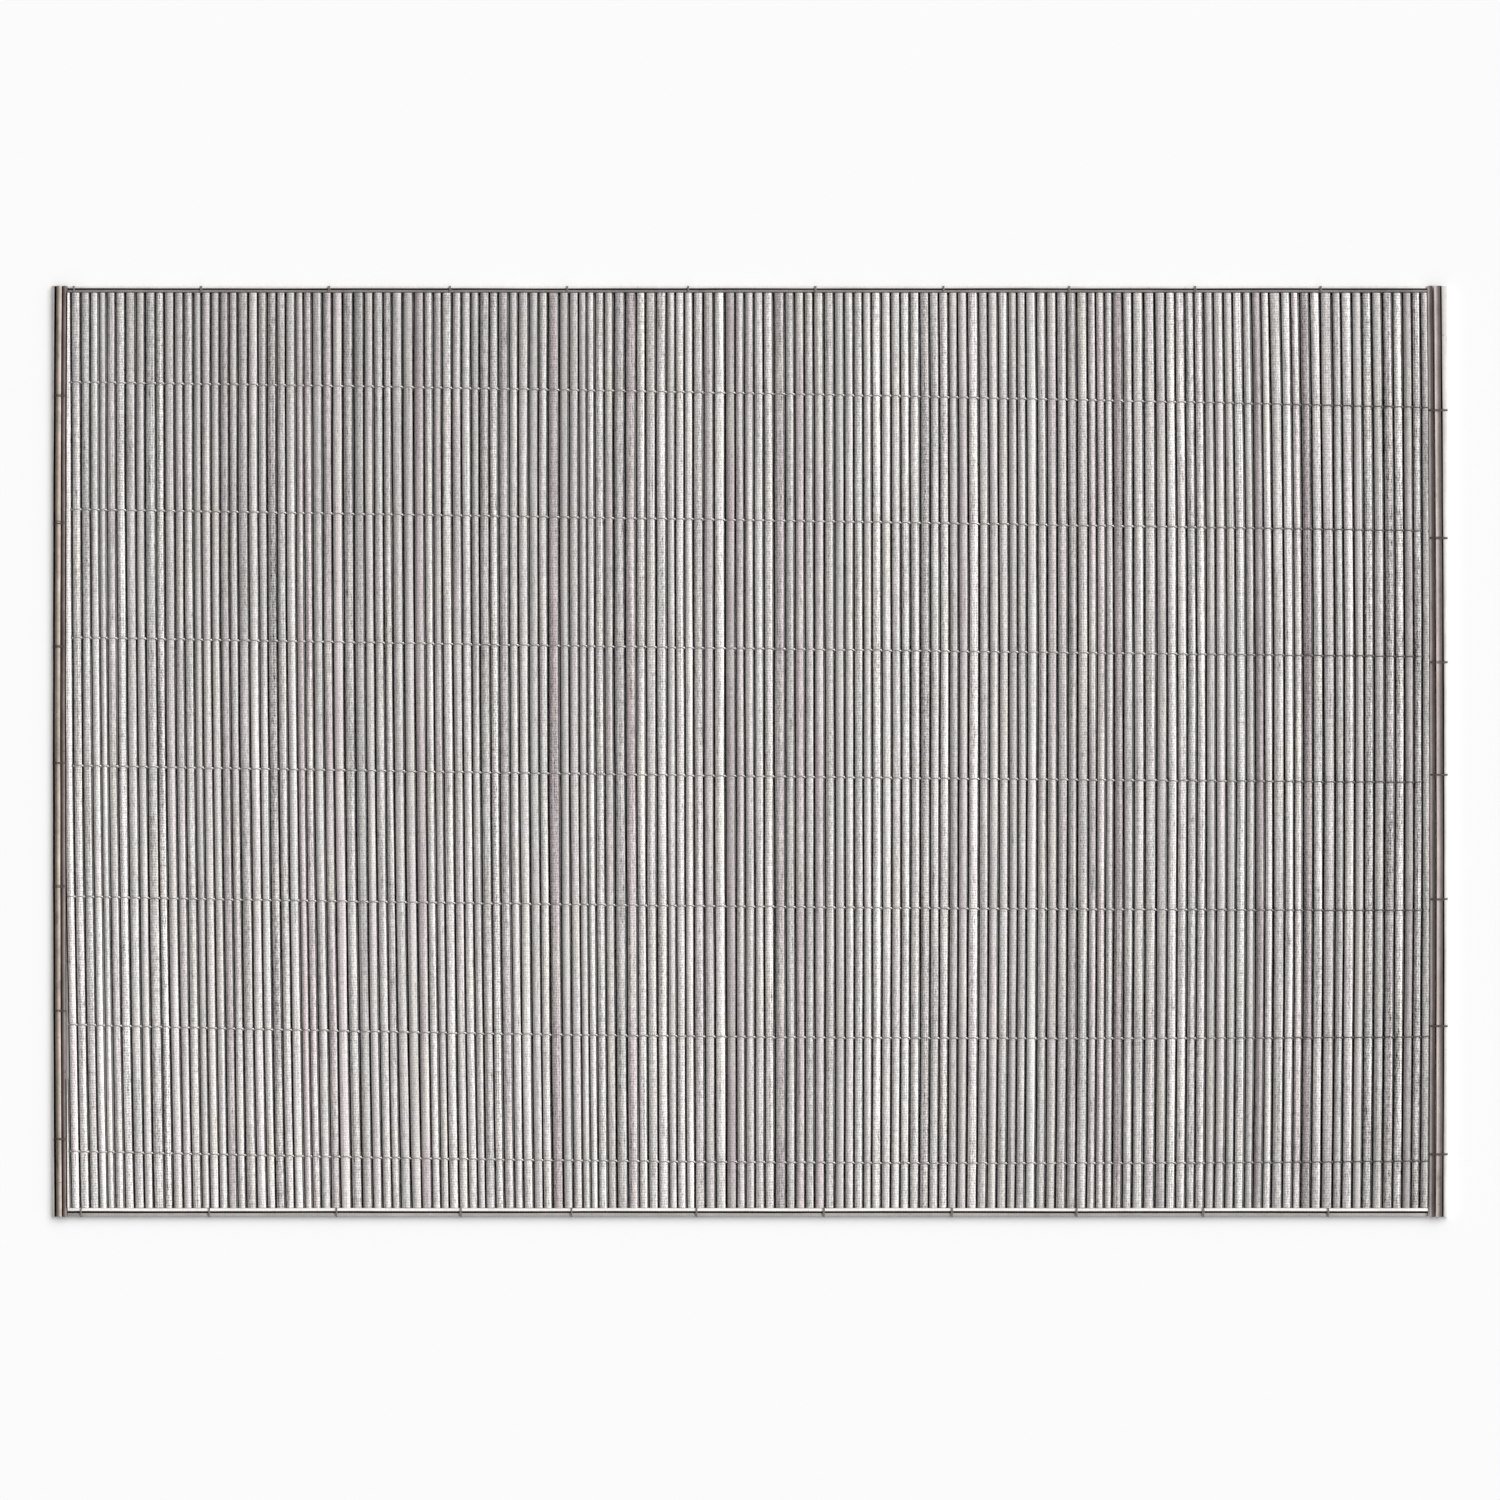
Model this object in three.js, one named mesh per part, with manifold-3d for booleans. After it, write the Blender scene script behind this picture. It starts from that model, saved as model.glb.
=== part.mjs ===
// Outdoor bamboo rug, lying flat: round sticks side by side, twined together on seven rows of thread,
// and edged with brown sticks and thin laths that short wraps of thread hold on.
// Millimetres, +Z up. The origin is the middle of the rug on the floor, +X runs along its long side
// and the sticks run along Y.

import * as THREE from "three";
import { mergeVertices } from "three/addons/utils/BufferGeometryUtils.js";
import Module from "manifold-3d";

// The whole rug
const RUG_LENGTH = 1800;
const RUG_WIDTH = 1200;
const CLEARANCE = 0.3;

// Field of sticks
const STICK_THICKNESS = 10;
const PITCH_SPREAD = 2.8;
const STICK_GAP = 2.0;
const STICK_SEED = 41;
const WEB_THICKNESS = 2;
const FIELD_SPANS = 2;
const FIELD_INSET = { left: 21.1, right: 25.4, top: 8.8, bottom: 12.5 };

// The whole sticks lie between the first and the last gap at their upper end, and their mean pitch varies
const WHOLE_STICKS = 139;
const FIRST_GAP = -874.9;
const LAST_GAP = 863.3;
const STICK_PITCH = [
  { x: -880, pitch: 11.4 },
  { x: -580, pitch: 11.8 },
  { x: -400, pitch: 12.8 },
  { x: -220, pitch: 12.2 },
  { x: -70, pitch: 13.0 },
  { x: 100, pitch: 12.5 },
  { x: 870, pitch: 12.7 },
];

// How far the sticks stray from straight: lean is the drift at their lower end, bow at their middle
const STICK_DRIFT = [
  { x: -880, lean: 12.0, bow: 0.0 },
  { x: -460, lean: 12.0, bow: 0.0 },
  { x: -265, lean: 6.7, bow: -0.5 },
  { x: -80, lean: 3.0, bow: 0.0 },
  { x: 115, lean: 1.3, bow: 1.1 },
  { x: 300, lean: -1.8, bow: 2.1 },
  { x: 490, lean: -0.6, bow: 2.1 },
  { x: 670, lean: 2.5, bow: 5.3 },
  { x: 865, lean: -0.9, bow: 3.3 },
];

// Rows of twine across the sticks: height on the left and the right edge, and the dip between them
const THREAD_ROWS = [
  { left: 476, right: 443, dip: -2 },
  { left: 312, right: 284, dip: 0 },
  { left: 147, right: 122, dip: 2 },
  { left: -18, right: -40, dip: 3 },
  { left: -187, right: -205, dip: 4 },
  { left: -352, right: -368, dip: 8 },
  { left: -515, right: -528, dip: 8 },
];
const THREAD_WIDTH = 1.6;
const THREAD_HEIGHT = 1.0;
const THREAD_SPANS = 8;

// Border: each piece runs along its side, from and to are measured inwards from the outline
const BORDER_BOTTOM = 1.5;
const BORDER_SPANS = 12;
const STICK_SIDES = 10;
const LATH_CHAMFER = 0.6;
const TIE_THICKNESS = 1.0;
const TIE_WIDTH = 1.2;
const TIE_CHAMFER = 1.2;
const TIE_BOTTOM = 0.2;

const half = { length: RUG_LENGTH / 2, width: RUG_WIDTH / 2 };
const SIDES = [
  {
    name: "left",
    place: [-half.length, 0],
    turn: 0,
    bow: 2,
    lean: 0,
    ends: [-half.width, half.width],
    pieces: [
      { name: "rim_lath", from: 1.3, to: 3.6, top: 7.5, form: "lath", wood: "pale" },
      { name: "outer_stick", from: 4.9, to: 13.3, top: 9.9, form: "stick", wood: "brown" },
      { name: "inner_stick", from: 14.7, to: 19.5, top: 8.6, form: "stick", wood: "dark" },
    ],
    ties: [458, 294, 135, -15, -174, -335, -500],
  },
  {
    name: "right",
    place: [half.length, 0],
    turn: Math.PI,
    bow: 2.1,
    lean: 1.3,
    ends: [-half.width, half.width],
    pieces: [
      { name: "rim_lath", from: 1.3, to: 7.0, top: 7.5, form: "lath", wood: "pale" },
      { name: "outer_stick", from: 8.6, to: 16.6, top: 9.9, form: "stick", wood: "brown" },
      { name: "inner_stick", from: 18.2, to: 23.8, top: 8.6, form: "stick", wood: "dark" },
    ],
    ties: [-440, -275, -115, 30, 190, 354, 519],
  },
  {
    name: "top",
    place: [0, half.width],
    turn: -Math.PI / 2,
    bow: 0,
    lean: 0,
    ends: [-half.length + FIELD_INSET.left, half.length - FIELD_INSET.right],
    pieces: [
      { name: "outer_lath", from: 1.3, to: 3.4, top: 8.5, form: "lath", wood: "pale" },
      { name: "inner_lath", from: 5.0, to: 7.2, top: 8.5, form: "lath", wood: "grey" },
    ],
    ties: [-871, -707, -542, -386, -235, -79, 85, 250, 412, 574, 736],
  },
  {
    name: "bottom",
    place: [0, -half.width],
    turn: Math.PI / 2,
    bow: 0,
    lean: 0,
    ends: [-half.length + FIELD_INSET.right, half.length - FIELD_INSET.left],
    pieces: [
      { name: "outer_lath", from: 1.3, to: 4.9, top: 7.5, form: "lath", wood: "grey" },
      { name: "inner_lath", from: 7.0, to: 10.9, top: 8.5, form: "lath", wood: "pale" },
    ],
    ties: [861, 696, 532, 372, 229, 68, -96, -261, -422, -585, -746],
  },
];

const FINISHES = {
  grey: { color: 0xaba6a4, roughness: 0.7, metalness: 0 },
  brown: { color: 0x8e7d73, roughness: 0.6, metalness: 0 },
  dark: { color: 0x65554f, roughness: 0.65, metalness: 0 },
  pale: { color: 0xd9d5d0, roughness: 0.7, metalness: 0 },
  twine: { color: 0x8b8785, roughness: 0.9, metalness: 0 },
  tie: { color: 0x4a3f3b, roughness: 0.9, metalness: 0 },
};

const wasm = await Module();
wasm.setup();

function solidOf(geometry) {
  const bare = geometry.clone();
  bare.deleteAttribute("normal");
  bare.deleteAttribute("uv");
  const merged = mergeVertices(bare);
  return new wasm.Manifold(
    new wasm.Mesh({
      numProp: 3,
      vertProperties: new Float32Array(merged.attributes.position.array),
      triVerts: new Uint32Array(merged.index.array),
    }),
  );
}

function geometryOf(solid) {
  const { numProp, vertProperties, triVerts } = solid.getMesh();
  const geometry = new THREE.BufferGeometry();
  geometry.setAttribute("position", new THREE.BufferAttribute(vertProperties, numProp));
  geometry.setIndex(new THREE.BufferAttribute(triVerts, 1));
  geometry.computeVertexNormals();
  return geometry;
}

function piece(name, geometry, finish) {
  const mesh = new THREE.Mesh(geometry, new THREE.MeshStandardMaterial(FINISHES[finish]));
  mesh.name = name;
  return mesh;
}

// A section drawn across and upwards, run along Y from one end to the other
function runAlongY(section, [start, end], spans) {
  const settings = { depth: end - start, steps: spans, bevelEnabled: false };
  return new THREE.ExtrudeGeometry(section, settings).rotateX(Math.PI / 2).translate(0, end, 0);
}

// Every point moved sideways by what shift says for its place
function strayed(geometry, shift) {
  const position = geometry.attributes.position;
  for (let i = 0; i < position.count; i++) {
    const x = position.getX(i);
    position.setX(i, x + shift(x, position.getY(i)));
  }
  return geometry;
}

function chamferedRectangle(left, right, bottom, top, chamfer) {
  return new THREE.Shape([
    new THREE.Vector2(left + chamfer, bottom),
    new THREE.Vector2(right - chamfer, bottom),
    new THREE.Vector2(right, bottom + chamfer),
    new THREE.Vector2(right, top - chamfer),
    new THREE.Vector2(right - chamfer, top),
    new THREE.Vector2(left + chamfer, top),
    new THREE.Vector2(left, top - chamfer),
    new THREE.Vector2(left, bottom + chamfer),
  ]);
}

function ovalSection(left, right, bottom, top) {
  const outline = new THREE.EllipseCurve(
    (left + right) / 2,
    (bottom + top) / 2,
    (right - left) / 2,
    (top - bottom) / 2,
  );
  return new THREE.Shape(outline.getPoints(STICK_SIDES).slice(0, STICK_SIDES));
}

// A value read off between the two nearest stations along the rug
function readOff(stations, key, x) {
  const last = stations.length - 1;
  const found = stations.findIndex((station) => station.x > x);
  const next = found < 0 ? last : Math.max(found, 1);
  const [a, b] = [stations[next - 1], stations[next]];
  const share = THREE.MathUtils.clamp((x - a.x) / (b.x - a.x), 0, 1);
  return THREE.MathUtils.lerp(a[key], b[key], share);
}

// The lines between neighbouring sticks at their upper end, no two sticks of the same width. Two more
// sticks on the left come out from under the border lower down, and one on the right.
function stickEdges() {
  let seed = STICK_SEED;
  const draw = () => {
    seed = (seed * 1664525 + 1013904223) % 4294967296;
    return seed / 4294967296;
  };
  const widths = [];
  for (let i = 0; i < WHOLE_STICKS; i++) {
    const x = THREE.MathUtils.lerp(FIRST_GAP, LAST_GAP, i / WHOLE_STICKS);
    widths.push(readOff(STICK_PITCH, "pitch", x) + PITCH_SPREAD * (draw() + draw() - 1));
  }
  const drawn = widths.reduce((sum, width) => sum + width, 0);
  const leftPitch = readOff(STICK_PITCH, "pitch", FIRST_GAP);
  const edges = [FIRST_GAP - 2 * leftPitch, FIRST_GAP - leftPitch, FIRST_GAP];
  for (const width of widths) {
    edges.push(edges[edges.length - 1] + (width * (LAST_GAP - FIRST_GAP)) / drawn);
  }
  edges.push(LAST_GAP + readOff(STICK_PITCH, "pitch", LAST_GAP));
  return edges;
}

// Eight-sided sticks that a thin web joins at mid height, flat where they touch the floor
function fieldSection(edges) {
  const middle = STICK_THICKNESS / 2;
  const facet = Math.tan(Math.PI / 8);
  const under = [new THREE.Vector2(edges[0], middle - WEB_THICKNESS / 2)];
  const over = [new THREE.Vector2(edges[0], middle + WEB_THICKNESS / 2)];
  for (let i = 1; i < edges.length; i++) {
    const centre = (edges[i - 1] + edges[i]) / 2;
    const reach = (edges[i] - edges[i - 1] - STICK_GAP) / 2;
    under.push(
      new THREE.Vector2(centre - reach * facet, 0),
      new THREE.Vector2(centre + reach * facet, 0),
      new THREE.Vector2(edges[i], middle - WEB_THICKNESS / 2),
    );
    over.push(
      new THREE.Vector2(centre - reach, middle + middle * facet),
      new THREE.Vector2(centre - reach * facet, STICK_THICKNESS),
      new THREE.Vector2(centre + reach * facet, STICK_THICKNESS),
      new THREE.Vector2(centre + reach, middle + middle * facet),
      new THREE.Vector2(edges[i], middle + WEB_THICKNESS / 2),
    );
  }
  return new THREE.Shape([...under, ...over.reverse()]);
}

const fieldEnds = [-half.width + FIELD_INSET.bottom, half.width - FIELD_INSET.top];

function driftAt(x, y) {
  const down = (fieldEnds[1] - y) / (fieldEnds[1] - fieldEnds[0]);
  const lean = readOff(STICK_DRIFT, "lean", x);
  const bow = readOff(STICK_DRIFT, "bow", x);
  return lean * down ** 2 + bow * 4 * down * (1 - down);
}

// How far a side's border bulges outwards at a place along it
function bulge(side, y) {
  const share = y / half.width;
  return side.bow * (1 - share ** 2) + side.lean * share;
}

// The outer sticks are cut lengthwise where the border meets the field
function slatField() {
  const [left, right] = SIDES;
  const sticks = runAlongY(fieldSection(stickEdges()), fieldEnds, FIELD_SPANS);
  strayed(sticks, driftAt);
  const trim = chamferedRectangle(
    -half.length + FIELD_INSET.left,
    half.length - FIELD_INSET.right,
    -STICK_THICKNESS,
    2 * STICK_THICKNESS,
    CLEARANCE,
  );
  const cutter = runAlongY(trim, [-half.width, half.width], BORDER_SPANS);
  strayed(cutter, (x, y) => (x < 0 ? -bulge(left, y) : bulge(right, -y)));
  return piece("slat_field", geometryOf(solidOf(sticks).intersect(solidOf(cutter))), "grey");
}

// A bar of twine lies on the crests of all sticks
function threadRow(row, number) {
  const bottom = STICK_THICKNESS + CLEARANCE;
  const section = chamferedRectangle(
    -THREAD_WIDTH / 2,
    THREAD_WIDTH / 2,
    bottom,
    bottom + THREAD_HEIGHT,
    CLEARANCE,
  );
  const [start, end] = SIDES.find((side) => side.name === "top").ends;
  const bar = runAlongY(section, [start, end], THREAD_SPANS);
  strayed(bar, (across, x) => {
    const share = (x - start) / (end - start);
    return row.dip * 4 * share * (1 - share) - THREE.MathUtils.lerp(row.left, row.right, share);
  });
  const mesh = piece(`thread_row_${number}`, bar, "twine");
  mesh.rotation.z = -Math.PI / 2;
  return mesh;
}

// A border piece keeps its outer face straight when it is the rim, and follows the bulge otherwise
function borderPiece(side, part) {
  const section =
    part.form === "lath"
      ? chamferedRectangle(part.from, part.to, BORDER_BOTTOM, part.top, LATH_CHAMFER)
      : ovalSection(part.from, part.to, BORDER_BOTTOM, part.top);
  const rim = side.pieces[0];
  const spans = side.bow > 0 ? BORDER_SPANS : 1;
  const run = runAlongY(section, side.ends, spans);
  strayed(run, (x, y) => {
    const share = THREE.MathUtils.clamp((x - rim.from) / (rim.to - rim.from), 0, 1);
    return -share * bulge(side, y);
  });
  return piece(`${side.name}_${part.name}`, run, part.wood);
}

// One wrap of thread round all pieces of a side's border
function tie(side, y, number) {
  const reach = side.pieces[side.pieces.length - 1].to + CLEARANCE + TIE_THICKNESS;
  const width = reach - bulge(side, y);
  const top = Math.max(...side.pieces.map((part) => part.top)) + CLEARANCE + TIE_THICKNESS;
  const ring = chamferedRectangle(0, width, TIE_BOTTOM, top, TIE_CHAMFER);
  ring.holes.push(
    new THREE.Path([
      new THREE.Vector2(TIE_THICKNESS, TIE_BOTTOM + TIE_THICKNESS),
      new THREE.Vector2(TIE_THICKNESS, top - TIE_THICKNESS),
      new THREE.Vector2(width - TIE_THICKNESS, top - TIE_THICKNESS),
      new THREE.Vector2(width - TIE_THICKNESS, TIE_BOTTOM + TIE_THICKNESS),
    ]),
  );
  const wrap = runAlongY(ring, [-TIE_WIDTH / 2, TIE_WIDTH / 2], 1);
  const mesh = piece(`${side.name}_tie_${number}`, wrap, "tie");
  mesh.position.y = y;
  return mesh;
}

function border(side) {
  const group = new THREE.Group();
  group.position.set(side.place[0], side.place[1], 0);
  group.rotation.z = side.turn;
  for (const part of side.pieces) {
    group.add(borderPiece(side, part));
  }
  side.ties.forEach((y, index) => group.add(tie(side, y, index + 1)));
  return group;
}

const rug = new THREE.Group();
rug.add(slatField());
THREAD_ROWS.forEach((row, index) => rug.add(threadRow(row, index + 1)));
for (const side of SIDES) {
  rug.add(border(side));
}

export default rug;
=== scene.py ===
import math

import bpy
import numpy as np
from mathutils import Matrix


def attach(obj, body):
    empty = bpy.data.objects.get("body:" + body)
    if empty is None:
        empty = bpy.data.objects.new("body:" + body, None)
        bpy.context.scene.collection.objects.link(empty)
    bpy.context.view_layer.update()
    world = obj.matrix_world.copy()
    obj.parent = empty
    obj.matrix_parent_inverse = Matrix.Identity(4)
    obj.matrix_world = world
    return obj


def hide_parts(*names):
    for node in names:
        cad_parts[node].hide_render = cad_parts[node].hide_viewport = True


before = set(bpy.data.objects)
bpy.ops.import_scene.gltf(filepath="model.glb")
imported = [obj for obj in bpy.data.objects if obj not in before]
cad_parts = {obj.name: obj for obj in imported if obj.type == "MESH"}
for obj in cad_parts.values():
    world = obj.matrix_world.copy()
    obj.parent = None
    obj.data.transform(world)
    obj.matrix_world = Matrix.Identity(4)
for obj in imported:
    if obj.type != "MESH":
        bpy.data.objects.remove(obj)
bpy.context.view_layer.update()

MM = 0.001


# Camera
# The rug is looked at from straight above. A long lens keeps the sticks' sides from showing towards
# the edges, and the frame is a little wider than the rug.
FRAME_WIDTH = 1934.1 * MM
FRAME_CENTRE = (0.6 * MM, 1.7 * MM)
LENS = 300
SENSOR = 36

distance = FRAME_WIDTH * LENS / SENSOR
bpy.ops.object.select_all(action="DESELECT")
bpy.ops.object.camera_add(location=(*FRAME_CENTRE, distance), rotation=(0, 0, 0))
camera = bpy.context.object
camera.data.lens = LENS
camera.data.sensor_width = SENSOR
camera.data.clip_end = 3 * distance
bpy.context.scene.camera = camera


# Field of sticks
# Some 142 bamboo canes, about 12 mm wide and 10 mm high, lie side by side as the whole face of the rug.
# They are peeled, greyed and dry, no two of the same width or tone, and none is quite straight. Each is
# cut square at both ends, and the outermost are cut lengthwise where the border meets them.
RUG_LENGTH = 1800
RUG_WIDTH = 1200
PITCH_SPREAD = 2.8
STICK_GAP = 0.4
EXTRA_GAP = 0.3
WIDEST_EXTRA_GAP = 1.6
STICK_SEED = 41

# The solids draw the widths of their sticks from the same seed by the same steps
SEED_FACTOR = 1664525
SEED_STEP = 1013904223
SEED_LIMIT = 4294967296

STICK_BOTTOM = 0.1
STICK_TOP = 10.0
TOP_SPREAD = 0.5
STICK_SIDES = 14
END_BEVEL = 0.4
CUT_FACE = 0.01
SAME_PLACE = 1e-6
STRETCH_STEPS = 200
FIELD_INSET = {"left": 21.1, "right": 25.4, "top": 8.6, "bottom": 11.4}
LEAST_SLIVER = 1.5

# How much the sticks vary in tone, in mauve and in roughness, and how far apart their grain is taken
TONE_SPREAD = 0.1
MAUVE_SPREAD = 0.22
ROUGHNESS = (0.65, 1.2)
GRAIN_REACH = 4000

# Slow waves in a stick's width, as shares of it, and in its course: the length of each over two pi, and
# its size
SWELLS = ((47, 0.025), (21, 0.02))
WANDERS = ((130, 0.22), (58, 0.12))

# How far up its left and its right flank the painted shade between the sticks reaches
PAINTED_SHADE_REACH = (1.18, 0.80)

# How far the border bows outwards at the middle of a side, and leans outwards towards its upper end
BORDER_BOW = {"left": 2, "right": 2.1}
BORDER_LEAN = {"left": 0, "right": -1.3}

# The whole sticks lie between the first and the last gap at their upper end
WHOLE_STICKS = 139
FIRST_GAP = -874.9
LAST_GAP = 863.3
STICK_PITCH = {
    "x": (-880, -580, -400, -220, -70, 100, 870),
    "pitch": (11.4, 11.8, 12.8, 12.2, 13.0, 12.5, 12.7),
}

# How far the sticks stray from straight: lean is the drift at their lower end, bow at their middle
STICK_DRIFT = {
    "x": (-880, -460, -265, -80, 115, 300, 490, 670, 865),
    "lean": (12.0, 12.0, 6.7, 3.0, 1.3, -1.8, -0.6, 2.5, -0.9),
    "bow": (0.0, 0.0, -0.5, 0.0, 1.1, 2.1, 2.1, 5.3, 3.3),
}

# How much lighter or darker than the rest the rug is at its upper and its lower edge
FADING = {
    "x": (-840, -450, -250, -60, 70, 220, 360, 500, 640, 860),
    "upper": (-0.18, -0.18, -0.17, -0.04, 0.01, 0.07, -0.02, 0.05, 0.05, -0.06),
    "lower": (0.16, 0.08, 0.06, 0.05, 0.05, 0.06, -0.07, -0.02, -0.05, -0.18),
}

# Sticks that stand out: where they start, how light they are, and how much mauve is in them
NOTABLE_STICKS = [
    {"x": -892, "tone": 0.78, "mauve": 0.3},
    {"x": -881, "tone": 1.28, "mauve": 0.3},
    {"x": -812, "tone": 1.16, "mauve": 0.0},
    {"x": -650, "tone": 0.84, "mauve": 0.1},
    {"x": -613, "tone": 0.80, "mauve": 0.2},
    {"x": -576, "tone": 1.10, "mauve": 0.7},
    {"x": -526, "tone": 1.20, "mauve": 0.6},
    {"x": -503, "tone": 0.80, "mauve": 0.0},
    {"x": -422, "tone": 1.00, "mauve": 0.9},
    {"x": -247, "tone": 0.92, "mauve": 1.0},
    {"x": -150, "tone": 1.00, "mauve": 0.7},
    {"x": -86, "tone": 1.18, "mauve": 0.1},
    {"x": -32, "tone": 0.80, "mauve": 0.8},
    {"x": 34, "tone": 0.82, "mauve": 0.5},
    {"x": 68, "tone": 0.97, "mauve": 0.8},
    {"x": 158, "tone": 1.18, "mauve": 0.0},
    {"x": 221, "tone": 0.80, "mauve": 0.2},
    {"x": 257, "tone": 0.84, "mauve": 0.1},
    {"x": 368, "tone": 1.20, "mauve": 0.0},
    {"x": 420, "tone": 0.80, "mauve": 0.2},
    {"x": 473, "tone": 0.77, "mauve": 0.9},
    {"x": 543, "tone": 1.18, "mauve": 0.0},
    {"x": 647, "tone": 0.76, "mauve": 0.9},
    {"x": 693, "tone": 1.22, "mauve": 0.0},
    {"x": 719, "tone": 0.70, "mauve": 0.9},
    {"x": 769, "tone": 1.18, "mauve": 0.1},
    {"x": 821, "tone": 0.84, "mauve": 0.3},
    {"x": 847, "tone": 0.84, "mauve": 0.4},
    {"x": 859, "tone": 0.94, "mauve": 0.2},
]
NOTABLE_REACH = 7

# Sticks with a rougher, more scarred surface than the rest: where they start, and how rough they are
SCARRED_STICKS = [
    {"x": -764, "rough": 1.4},
    {"x": -613, "rough": 1.5},
    {"x": -326, "rough": 1.4},
    {"x": 221, "rough": 1.4},
    {"x": 719, "rough": 1.4},
    {"x": 795, "rough": 1.5},
    {"x": 821, "rough": 1.6},
    {"x": 834, "rough": 1.5},
    {"x": 859, "rough": 1.6},
]

field_low = -RUG_WIDTH / 2 + FIELD_INSET["bottom"]
field_high = RUG_WIDTH / 2 - FIELD_INSET["top"]
field_left = -RUG_LENGTH / 2 + FIELD_INSET["left"]
field_right = RUG_LENGTH / 2 - FIELD_INSET["right"]

# Rows of twine across the sticks: their heights at the left and the right edge, and the dip between
TWINE_ROWS = [
    {"left": 476, "right": 443, "dip": -2},
    {"left": 312, "right": 284, "dip": 0},
    {"left": 147, "right": 122, "dip": 2},
    {"left": -18, "right": -40, "dip": 3},
    {"left": -187, "right": -205, "dip": 4},
    {"left": -352, "right": -368, "dip": 8},
    {"left": -515, "right": -528, "dip": 8},
]

# The twine draws a neck into each stick: rings of the mesh stand at these distances from each row
NECK_DEPTH = 0.55
NECK_REACH = 1.5
NECK_RINGS = (-2.4, -0.9, 0.9, 2.4)
RINGS_BETWEEN_ROWS = 2


def pitch_at(x):
    return np.interp(x, STICK_PITCH["x"], STICK_PITCH["pitch"])


def stick_edges():
    """The lines between neighbouring sticks at their upper end, no two sticks of the same width.

    Two more sticks on the left come out from under the border lower down, and one on the right.
    """
    seed = STICK_SEED
    widths = []
    for i in range(WHOLE_STICKS):
        drawn = 0
        for _ in range(2):
            seed = (seed * SEED_FACTOR + SEED_STEP) % SEED_LIMIT
            drawn += seed / SEED_LIMIT
        x = FIRST_GAP + (LAST_GAP - FIRST_GAP) * i / WHOLE_STICKS
        widths.append(pitch_at(x) + PITCH_SPREAD * (drawn - 1))
    widths = np.array(widths) * (LAST_GAP - FIRST_GAP) / sum(widths)
    first = FIRST_GAP - 2 * pitch_at(FIRST_GAP)
    steps = [pitch_at(FIRST_GAP), pitch_at(FIRST_GAP), *widths, pitch_at(LAST_GAP)]
    return first + np.concatenate([[0], np.cumsum(steps)])


def drift_at(x, y):
    """How far a stick that starts at x has strayed sideways at height y."""
    down = (field_high - y) / (field_high - field_low)
    lean = np.interp(x, STICK_DRIFT["x"], STICK_DRIFT["lean"])
    bow = np.interp(x, STICK_DRIFT["x"], STICK_DRIFT["bow"])
    return lean * down**2 + bow * 4 * down * (1 - down)


def fading_at(x, y):
    """The share by which the rug is lighter or darker there than on average."""
    down = (field_high - y) / (field_high - field_low)
    upper = np.interp(x, FADING["x"], FADING["upper"])
    return upper + (np.interp(x, FADING["x"], FADING["lower"]) - upper) * down


def bulge_at(side, y):
    """How far the border of a side bulges outwards at height y."""
    share = y / (RUG_WIDTH / 2)
    return BORDER_BOW[side] * (1 - share**2) + BORDER_LEAN[side] * share


def waves_at(along, kinds, phases):
    """The sum of waves along a piece, each with a length over two pi, a size and a phase."""
    return sum(size * np.sin(along / length + phase) for (length, size), phase in zip(kinds, phases))


def row_height(row, x):
    share = (x - field_left) / (field_right - field_left)
    return row["left"] + (row["right"] - row["left"]) * share - row["dip"] * 4 * share * (1 - share)


def deselect_all():
    bpy.ops.object.select_all(action="DESELECT")


def select_edges(piece, wanted):
    """Leaves the piece in edit mode with those edges selected whose two ends pass the test."""
    bpy.ops.object.mode_set(mode="EDIT")
    bpy.ops.mesh.select_mode(type="EDGE")
    bpy.ops.mesh.select_all(action="DESELECT")
    bpy.ops.object.mode_set(mode="OBJECT")
    places = [vertex.co for vertex in piece.data.vertices]
    for edge in piece.data.edges:
        edge.select = wanted(places[edge.vertices[0]], places[edge.vertices[1]])
    bpy.ops.object.mode_set(mode="EDIT")


def model_cane(name, sides, cuts, low, high, end_bevel):
    """A round cane along Y with eased ends and enough rings to bend it, 1 mm in radius until scaled."""
    deselect_all()
    bpy.ops.mesh.primitive_cylinder_add(
        vertices=sides,
        radius=MM,
        depth=(high - low) * MM,
        location=(0, (low + high) / 2 * MM, 0),
        rotation=(math.pi / 2, 0, 0),
    )
    cane = bpy.context.object
    cane.name = name
    bpy.ops.object.transform_apply(location=True, rotation=True, scale=True)
    select_edges(cane, lambda a, b: abs(a.y - b.y) > (high - low) / 2 * MM)
    bpy.ops.mesh.subdivide(number_cuts=cuts)
    bpy.ops.object.mode_set(mode="OBJECT")
    ends = (low * MM, high * MM)
    select_edges(cane, lambda a, b: any(abs(a.y - end) + abs(b.y - end) < SAME_PLACE for end in ends))
    bpy.ops.mesh.bevel(offset=end_bevel * MM, segments=1, affect="EDGES")
    bpy.ops.object.mode_set(mode="OBJECT")
    return cane


def places_of(mesh):
    """The mesh's points as three columns, in millimetres."""
    flat = np.empty(len(mesh.vertices) * 3)
    mesh.vertices.foreach_get("co", flat)
    return flat.reshape(-1, 3) / MM


def put_places(mesh, places):
    mesh.vertices.foreach_set("co", (places * MM).astype(np.float32).ravel())
    mesh.update()


def write_attribute(mesh, name, values):
    """A number, or a place of three numbers, on every point of the mesh, for its material."""
    values = np.asarray(values, np.float32)
    kind, field = ("FLOAT", "value") if values.ndim == 1 else ("FLOAT_VECTOR", "vector")
    attribute = mesh.attributes.new(name, kind, "POINT")
    attribute.data.foreach_set(field, values.ravel())


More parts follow.
